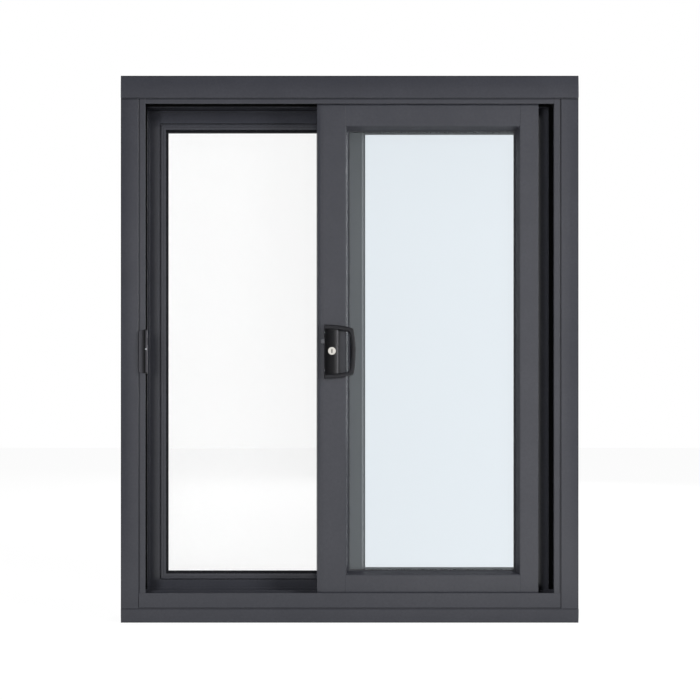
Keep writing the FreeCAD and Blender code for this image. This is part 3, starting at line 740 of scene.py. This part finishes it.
def pile_tree(finish):
    """Backing strip with rows of leaning fibres."""
    tree, given = new_tree("pile_strip", [
        ("Start", "NodeSocketVector"), ("Run", "NodeSocketVector"),
        ("Across", "NodeSocketVector"), ("Rise", "NodeSocketVector"),
        ("Backing", "NodeSocketFloat"), ("Count", "NodeSocketInt"), ("Rows", "NodeSocketInt"),
        ("Fibre", "NodeSocketFloat"), ("Seed", "NodeSocketInt")])
    grid = add(tree, "GeometryNodeMeshGrid", values={"Size X": 1.0, "Size Y": 1.0},
               links={"Vertices X": given["Count"], "Vertices Y": given["Rows"]})
    where = add(tree, "GeometryNodeInputPosition")
    axes = add(tree, "ShaderNodeSeparateXYZ", links={0: where.outputs[0]})
    along = scaled(tree, given["Run"], calc(tree, "ADD", axes.outputs["X"], 0.5))
    sideways = scaled(tree, given["Across"],
                      calc(tree, "MULTIPLY", axes.outputs["Y"], PILE_SPREAD))
    spot = vector(tree, "ADD", vector(tree, "ADD", given["Start"], along), sideways)
    placed = add(tree, "GeometryNodeSetPosition",
                 links={"Geometry": grid.outputs["Mesh"], "Position": spot})
    fibre = add(tree, "GeometryNodeMeshCone", {"fill_type": "NONE"},
                {"Vertices": 3, "Radius Top": 0.0},
                {"Radius Bottom": given["Fibre"], "Depth": length(tree, given["Rise"])})
    lean = add(tree, "FunctionNodeRandomValue", {"data_type": "FLOAT_VECTOR"},
               {0: 3 * (-PILE_LEAN,), 1: 3 * (PILE_LEAN,)}, {"Seed": given["Seed"]})
    aim = vector(tree, "ADD", given["Rise"], lean.outputs[0])
    turn = add(tree, "FunctionNodeAlignRotationToVector", {"axis": "Z"}, links={"Vector": aim})
    fibres = add(tree, "GeometryNodeInstanceOnPoints", links={
        "Points": placed.outputs[0], "Instance": fibre.outputs["Mesh"],
        "Rotation": turn.outputs[0]})
    thick = scaled(tree, vector(tree, "NORMALIZE", given["Rise"]), given["Backing"])
    extent = vector(tree, "ADD", vector(tree, "ADD", given["Run"], given["Across"]), thick)
    strip = add(tree, "GeometryNodeMeshCube", links={"Size": vector(tree, "ABSOLUTE", extent)})
    centre = vector(tree, "ADD", scaled(tree, given["Run"], 0.5), scaled(tree, thick, 0.5))
    backing = add(tree, "GeometryNodeTransform", links={
        "Geometry": strip.outputs["Mesh"],
        "Translation": vector(tree, "ADD", given["Start"], centre)})
    close_tree(tree, [fibres.outputs[0], backing.outputs[0]], finish)
    return tree


class SLIDINGWINDOW_OT_fit_pile_seals(bpy.types.Operator):
    """Pile seals behind the frame's lips and on its first fins"""
    bl_idname = "sliding_window.fit_pile_seals"
    bl_label = "Fit pile seals"

    def execute(self, context):
        sizes = context.scene.sliding_window_sizes
        tree = pile_tree(material(woven_pile))
        left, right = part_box("left_jamb")[1].x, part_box("right_jamb")[0].x
        top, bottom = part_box("head")[0].z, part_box("sill")[1].z
        inset = sizes.pile_width / 2 + MM
        behind_lip = ROOM_FACE + sizes.lip
        lanes = [((left - inset, bottom), (left - inset, top)),
                 ((right + inset, bottom), (right + inset, top)),
                 ((left, top + inset), (right, top + inset)),
                 ((left, bottom - inset), (right, bottom - inset))]
        inset = sizes.fin_pile_width / 2 + MM
        fin_top = top + FIN_RISE + inset
        fins = [((left - inset, bottom), (left - inset, fin_top - inset)),
                ((right + inset, bottom), (right + inset, fin_top - inset)),
                ((left - 2 * inset, fin_top), (right + 2 * inset, fin_top))]
        first_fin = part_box("sash_lock_stile")[1].y + sizes.fin_gap
        strips = []
        for plane, side, width, group in ((behind_lip, 1, sizes.pile_width, lanes),
                                          (first_fin, -1, sizes.fin_pile_width, fins)):
            for (x0, z0), (x1, z1) in group:
                run = Vector((x1 - x0, 0, z1 - z0))
                across = Vector((0, 0, width)) if run.x else Vector((width, 0, 0))
                strips.append(grow(tree, {
                    "Start": (x0, plane, z0), "Run": run, "Across": across,
                    "Rise": (0, side * sizes.pile_height, 0), "Backing": sizes.pile_backing,
                    "Count": int(run.length / sizes.pile_spacing), "Rows": sizes.pile_rows,
                    "Fibre": PILE_FIBRE, "Seed": len(strips)}))
        piece_of("pile_seals", strips, "frame")
        return {"FINISHED"}


def screw_tree(finish):
    """Domed heads with a cross recess, and a washer under each."""
    tree, given = new_tree("domed_screws", [
        ("Points", "NodeSocketGeometry"), ("Axis", "NodeSocketVector"),
        ("Radius", "NodeSocketFloat")])
    dome = add(tree, "GeometryNodeMeshUVSphere", values={"Segments": 20, "Rings": 10},
               links={"Radius": given["Radius"]})
    low_dome = add(tree, "GeometryNodeTransform", values={"Scale": (1, 1, DOME_FLATNESS)},
                   links={"Geometry": dome.outputs["Mesh"]})
    recess = add(tree, "GeometryNodeMeshBoolean", {"operation": "DIFFERENCE"},
                 links={"Mesh 1": low_dome.outputs[0]})
    reach, slim, deep = RECESS
    lift = add(tree, "ShaderNodeCombineXYZ", links={"Z": given["Radius"]})
    raised = scaled(tree, lift.outputs[0], DOME_FLATNESS)
    for bar in ((reach, slim, deep), (slim, reach, deep)):
        size = add(tree, "ShaderNodeVectorMath", {"operation": "SCALE"}, {0: bar},
                   {"Scale": given["Radius"]})
        cube = add(tree, "GeometryNodeMeshCube", links={"Size": size.outputs[0]})
        arm = add(tree, "GeometryNodeTransform",
                  links={"Geometry": cube.outputs["Mesh"], "Translation": raised})
        tree.links.new(arm.outputs[0], recess.inputs["Mesh 2"])
    washer = add(tree, "GeometryNodeMeshCylinder", values={"Vertices": 24},
                 links={"Radius": calc(tree, "MULTIPLY", given["Radius"], WASHER_WIDTH),
                        "Depth": calc(tree, "MULTIPLY", given["Radius"], WASHER_DEPTH)})
    both = add(tree, "GeometryNodeJoinGeometry", links={0: recess.outputs["Mesh"]})
    tree.links.new(washer.outputs["Mesh"], both.inputs[0])
    turn = add(tree, "FunctionNodeAlignRotationToVector", {"axis": "Z"},
               links={"Vector": given["Axis"]})
    heads = add(tree, "GeometryNodeInstanceOnPoints", links={
        "Points": given["Points"], "Instance": both.outputs[0], "Rotation": turn.outputs[0]})
    close_tree(tree, [heads.outputs[0]], finish)
    return tree


class SLIDINGWINDOW_OT_drive_screws(bpy.types.Operator):
    """Frame screws in the jambs, screws of the keeper and of the handle"""
    bl_idname = "sliding_window.drive_screws"
    bl_label = "Drive screws"

    def execute(self, context):
        sizes = context.scene.sliding_window_sizes
        tree = screw_tree(material(plated_zinc))
        fixings = next(m for m in frame["record"]["mounts"] if m["name"] == "left_fixings")
        half = fixings["dims"]["spacing_y_mm"] * MM / 2
        x, y, z = fixings["pos_m"]
        heads = grow(tree, {"Axis": (1, 0, 0), "Radius": sizes.fixing_head},
                     [(x + sizes.floor, y, z - half), (x + sizes.floor, y, z + half)])
        piece_of("frame_screws", [heads], "frame")

        low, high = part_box("keeper")
        spot = (high.x - KEEPER_SCREW_INSET, low.y, (low.z + high.z) / 2 + KEEPER_SCREW_RISE)
        radius = sizes.small_head / WASHER_WIDTH
        head = grow(tree, {"Axis": (0, -1, 0), "Radius": radius}, [spot])
        piece_of("keeper_screw", [head], "frame")

        low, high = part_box("handle_body")
        y = low.y + HANDLE_SCREW_DEPTH
        ends = [(low.x, y, low.z + HANDLE_SCREW_FOOT), (low.x, y, high.z - HANDLE_SCREW_TOP)]
        heads = grow(tree, {"Axis": (-1, 0, 0), "Radius": sizes.small_head}, ends)
        piece_of("handle_screws", [heads], "sash")
        return {"FINISHED"}


def aim(thing, target):
    thing.rotation_euler = (Vector(target) - thing.location).to_track_quat("-Z", "Y").to_euler()


def light(name, power, size, place):
    """Oval lamp, wide by tall, aimed at the window's middle; gloss shows the room instead."""
    lamp = bpy.data.lights.new(name, "AREA")
    lamp.shape = "ELLIPSE"
    lamp.size, lamp.size_y = size
    lamp.energy = power
    holder = bpy.data.objects.new(name, lamp)
    holder.location = place
    holder.visible_glossy = False
    holder.visible_transmission = False
    aim(holder, LAMP_TARGET)
    bpy.context.scene.collection.objects.link(holder)


def lit_room(tree, axes):
    """Light from the front by direction: it fades to the left, far right and upwards."""
    lit, *fades = [smooth(tree, axes.outputs[axis], *fade) for axis, *fade in ROOM_FADES]
    for fade in fades:
        lit = calc(tree, "MULTIPLY", lit, fade)
    axis, *fade = FAR_LEFT
    return calc(tree, "ADD", lit, smooth(tree, axes.outputs[axis], *fade))


def glow_in_gloss(tree, way):
    """Tall soft-edged patch where the key stands, in place of the hard edge of a lamp."""
    off = vector(tree, "MULTIPLY", vector(tree, "SUBTRACT", way, GLOW_WAY), GLOW_SCALE)
    return smooth(tree, length(tree, off), *GLOW_EDGE, 0.0, GLOW_LIGHT)


def room_in_gloss(tree):
    """White behind the window, the lit room in front of it."""
    way = add(tree, "ShaderNodeTexCoord").outputs["Generated"]
    axes = add(tree, "ShaderNodeSeparateXYZ", links={"Vector": way})
    lit = calc(tree, "ADD", lit_room(tree, axes), glow_in_gloss(tree, way))
    return white_behind(tree, axes, WORLD_BEHIND, lit)


def white_behind(tree, axes, band, lit):
    """Turns that light to plain white across a band of Y."""
    behind = span(tree, axes.outputs["Y"], 0.0, 1.0, *band)
    both = add(tree, "ShaderNodeMix", {"data_type": "FLOAT"}, {3: 1.0}, {0: behind, 2: lit})
    return both.outputs[0]


def painted_floor(eye):
    # Matt white floor paint: even, with a faint roller texture about 8 mm across. In gloss
    # the light of the room runs on over it, as seen from that point behind the window.
    # Through glass it is plain white.
    material = make_material("painted_floor")
    tree = material.node_tree
    place = add(tree, "ShaderNodeTexCoord").outputs["Object"]
    relief = add(tree, "ShaderNodeBump", values={"Distance": 0.1 * MM, "Strength": 0.3},
                 links={"Height": noise(tree, 8)})
    plain, shade = (add(tree, "ShaderNodeBsdfDiffuse", values={"Color": rgba(3 * (grey,))},
                        links={"Normal": relief.outputs["Normal"]})
                    for grey in (FLOOR_PAINT, FLOOR_SHADE))
    glow = add(tree, "ShaderNodeEmission", values={"Strength": FLOOR_GLOW})
    seen = add(tree, "ShaderNodeAddShader", links={0: shade.outputs[0], 1: glow.outputs[0]})
    way = vector(tree, "NORMALIZE", vector(tree, "SUBTRACT", place, eye))
    axes = add(tree, "ShaderNodeSeparateXYZ", links={"Vector": way})
    room = white_behind(tree, on_piece(tree), FLOOR_BEHIND, lit_room(tree, axes))
    mirror = add(tree, "ShaderNodeEmission", links={"Strength": room})
    white = add(tree, "ShaderNodeEmission", values={"Strength": 1.0})
    path = add(tree, "ShaderNodeLightPath")
    shown = plain
    for ray, shader in (("Is Camera Ray", seen), ("Is Glossy Ray", mirror),
                        ("Is Transmission Ray", white)):
        shown = add(tree, "ShaderNodeMixShader",
                    links={0: path.outputs[ray], 1: shown.outputs[0], 2: shader.outputs[0]})
    add(tree, "ShaderNodeOutputMaterial", links={"Surface": shown.outputs[0]})
    return material


class SLIDINGWINDOW_OT_set_stage(bpy.types.Operator):
    """Floor, lamps, surroundings and camera"""
    bl_idname = "sliding_window.set_stage"
    bl_label = "Set stage"

    def execute(self, context):
        scene = context.scene
        stage = scene.sliding_window_stage
        scene.view_settings.view_transform = "Standard"

        mesh = bpy.data.meshes.new("floor")
        corners = ((-1, -1), (1, -1), (1, 1), (-1, 1))
        mesh.from_pydata([(FLOOR_REACH * x, FLOOR_REACH * y, 0) for x, y in corners], [],
                         [(0, 1, 2, 3)])
        mesh.materials.append(painted_floor((-stage.across, stage.distance, stage.height)))
        floor = bpy.data.objects.new("floor", mesh)
        scene.collection.objects.link(floor)

        world = bpy.data.worlds.new("surroundings")
        world.use_nodes = True
        tree = world.node_tree
        tree.nodes.clear()
        path = add(tree, "ShaderNodeLightPath")
        room = add(tree, "ShaderNodeMix", {"data_type": "FLOAT"}, {2: stage.fill},
                   {0: path.outputs["Is Glossy Ray"], 3: room_in_gloss(tree)})
        plain = calc(tree, "MAXIMUM", path.outputs["Is Camera Ray"],
                     path.outputs["Is Transmission Ray"])
        strength = add(tree, "ShaderNodeMix", {"data_type": "FLOAT"}, {3: 1.0},
                       {0: plain, 2: room.outputs[0]})
        sky = add(tree, "ShaderNodeBackground", values={"Color": (1, 1, 1, 1)},
                  links={"Strength": strength.outputs[0]})
        add(tree, "ShaderNodeOutputWorld", links={"Surface": sky.outputs[0]})
        scene.world = world

        for name, size, place in LAMPS:
            light(name, getattr(stage, name), size, place)

        lens = bpy.data.cameras.new("camera")
        lens.sensor_width = 36.0
        lens.lens = stage.lens
        lens.shift_x = stage.shift_x
        lens.shift_y = stage.shift_y
        camera = bpy.data.objects.new("camera", lens)
        camera.location = (-stage.across, ROOM_FACE - stage.distance, stage.height)
        aim(camera, (-stage.across, 0, stage.height))
        scene.collection.objects.link(camera)
        scene.camera = camera
        return {"FINISHED"}


OPERATORS = (
    SLIDINGWINDOW_OT_coat_extrusions,
    SLIDINGWINDOW_OT_glaze,
    SLIDINGWINDOW_OT_finish_handle,
    SLIDINGWINDOW_OT_finish_rollers,
    SLIDINGWINDOW_OT_hang_screen,
    SLIDINGWINDOW_OT_fit_pile_seals,
    SLIDINGWINDOW_OT_drive_screws,
    SLIDINGWINDOW_OT_set_stage,
)
GROUPS = {
    "sliding_window_finishes": SlidingWindowFinishes,
    "sliding_window_sizes": SlidingWindowSizes,
    "sliding_window_stage": SlidingWindowStage,
}


class SLIDINGWINDOW_PT_steps(bpy.types.Panel):
    """Steps that dress the window"""
    bl_idname = "SLIDINGWINDOW_PT_steps"
    bl_label = "Sliding window"
    bl_space_type = "VIEW_3D"
    bl_region_type = "UI"
    bl_category = "Window"

    def draw(self, context):
        for operator in OPERATORS:
            self.layout.operator(operator.bl_idname)
        for name, group in GROUPS.items():
            for key in group.__annotations__:
                self.layout.prop(getattr(context.scene, name), key)


def register():
    for name, group in GROUPS.items():
        bpy.utils.register_class(group)
        setattr(bpy.types.Scene, name, PointerProperty(type=group))
    for operator in OPERATORS:
        bpy.utils.register_class(operator)
    bpy.utils.register_class(SLIDINGWINDOW_PT_steps)


def unregister():
    bpy.utils.unregister_class(SLIDINGWINDOW_PT_steps)
    for operator in reversed(OPERATORS):
        bpy.utils.unregister_class(operator)
    for name, group in GROUPS.items():
        delattr(bpy.types.Scene, name)
        bpy.utils.unregister_class(group)


def main():
    register()
    bpy.ops.sliding_window.coat_extrusions()
    bpy.ops.sliding_window.glaze()
    bpy.ops.sliding_window.finish_handle()
    bpy.ops.sliding_window.finish_rollers()
    bpy.ops.sliding_window.hang_screen()
    bpy.ops.sliding_window.fit_pile_seals()
    bpy.ops.sliding_window.drive_screws()
    bpy.ops.sliding_window.set_stage()


if __name__ == "__main__":
    main()
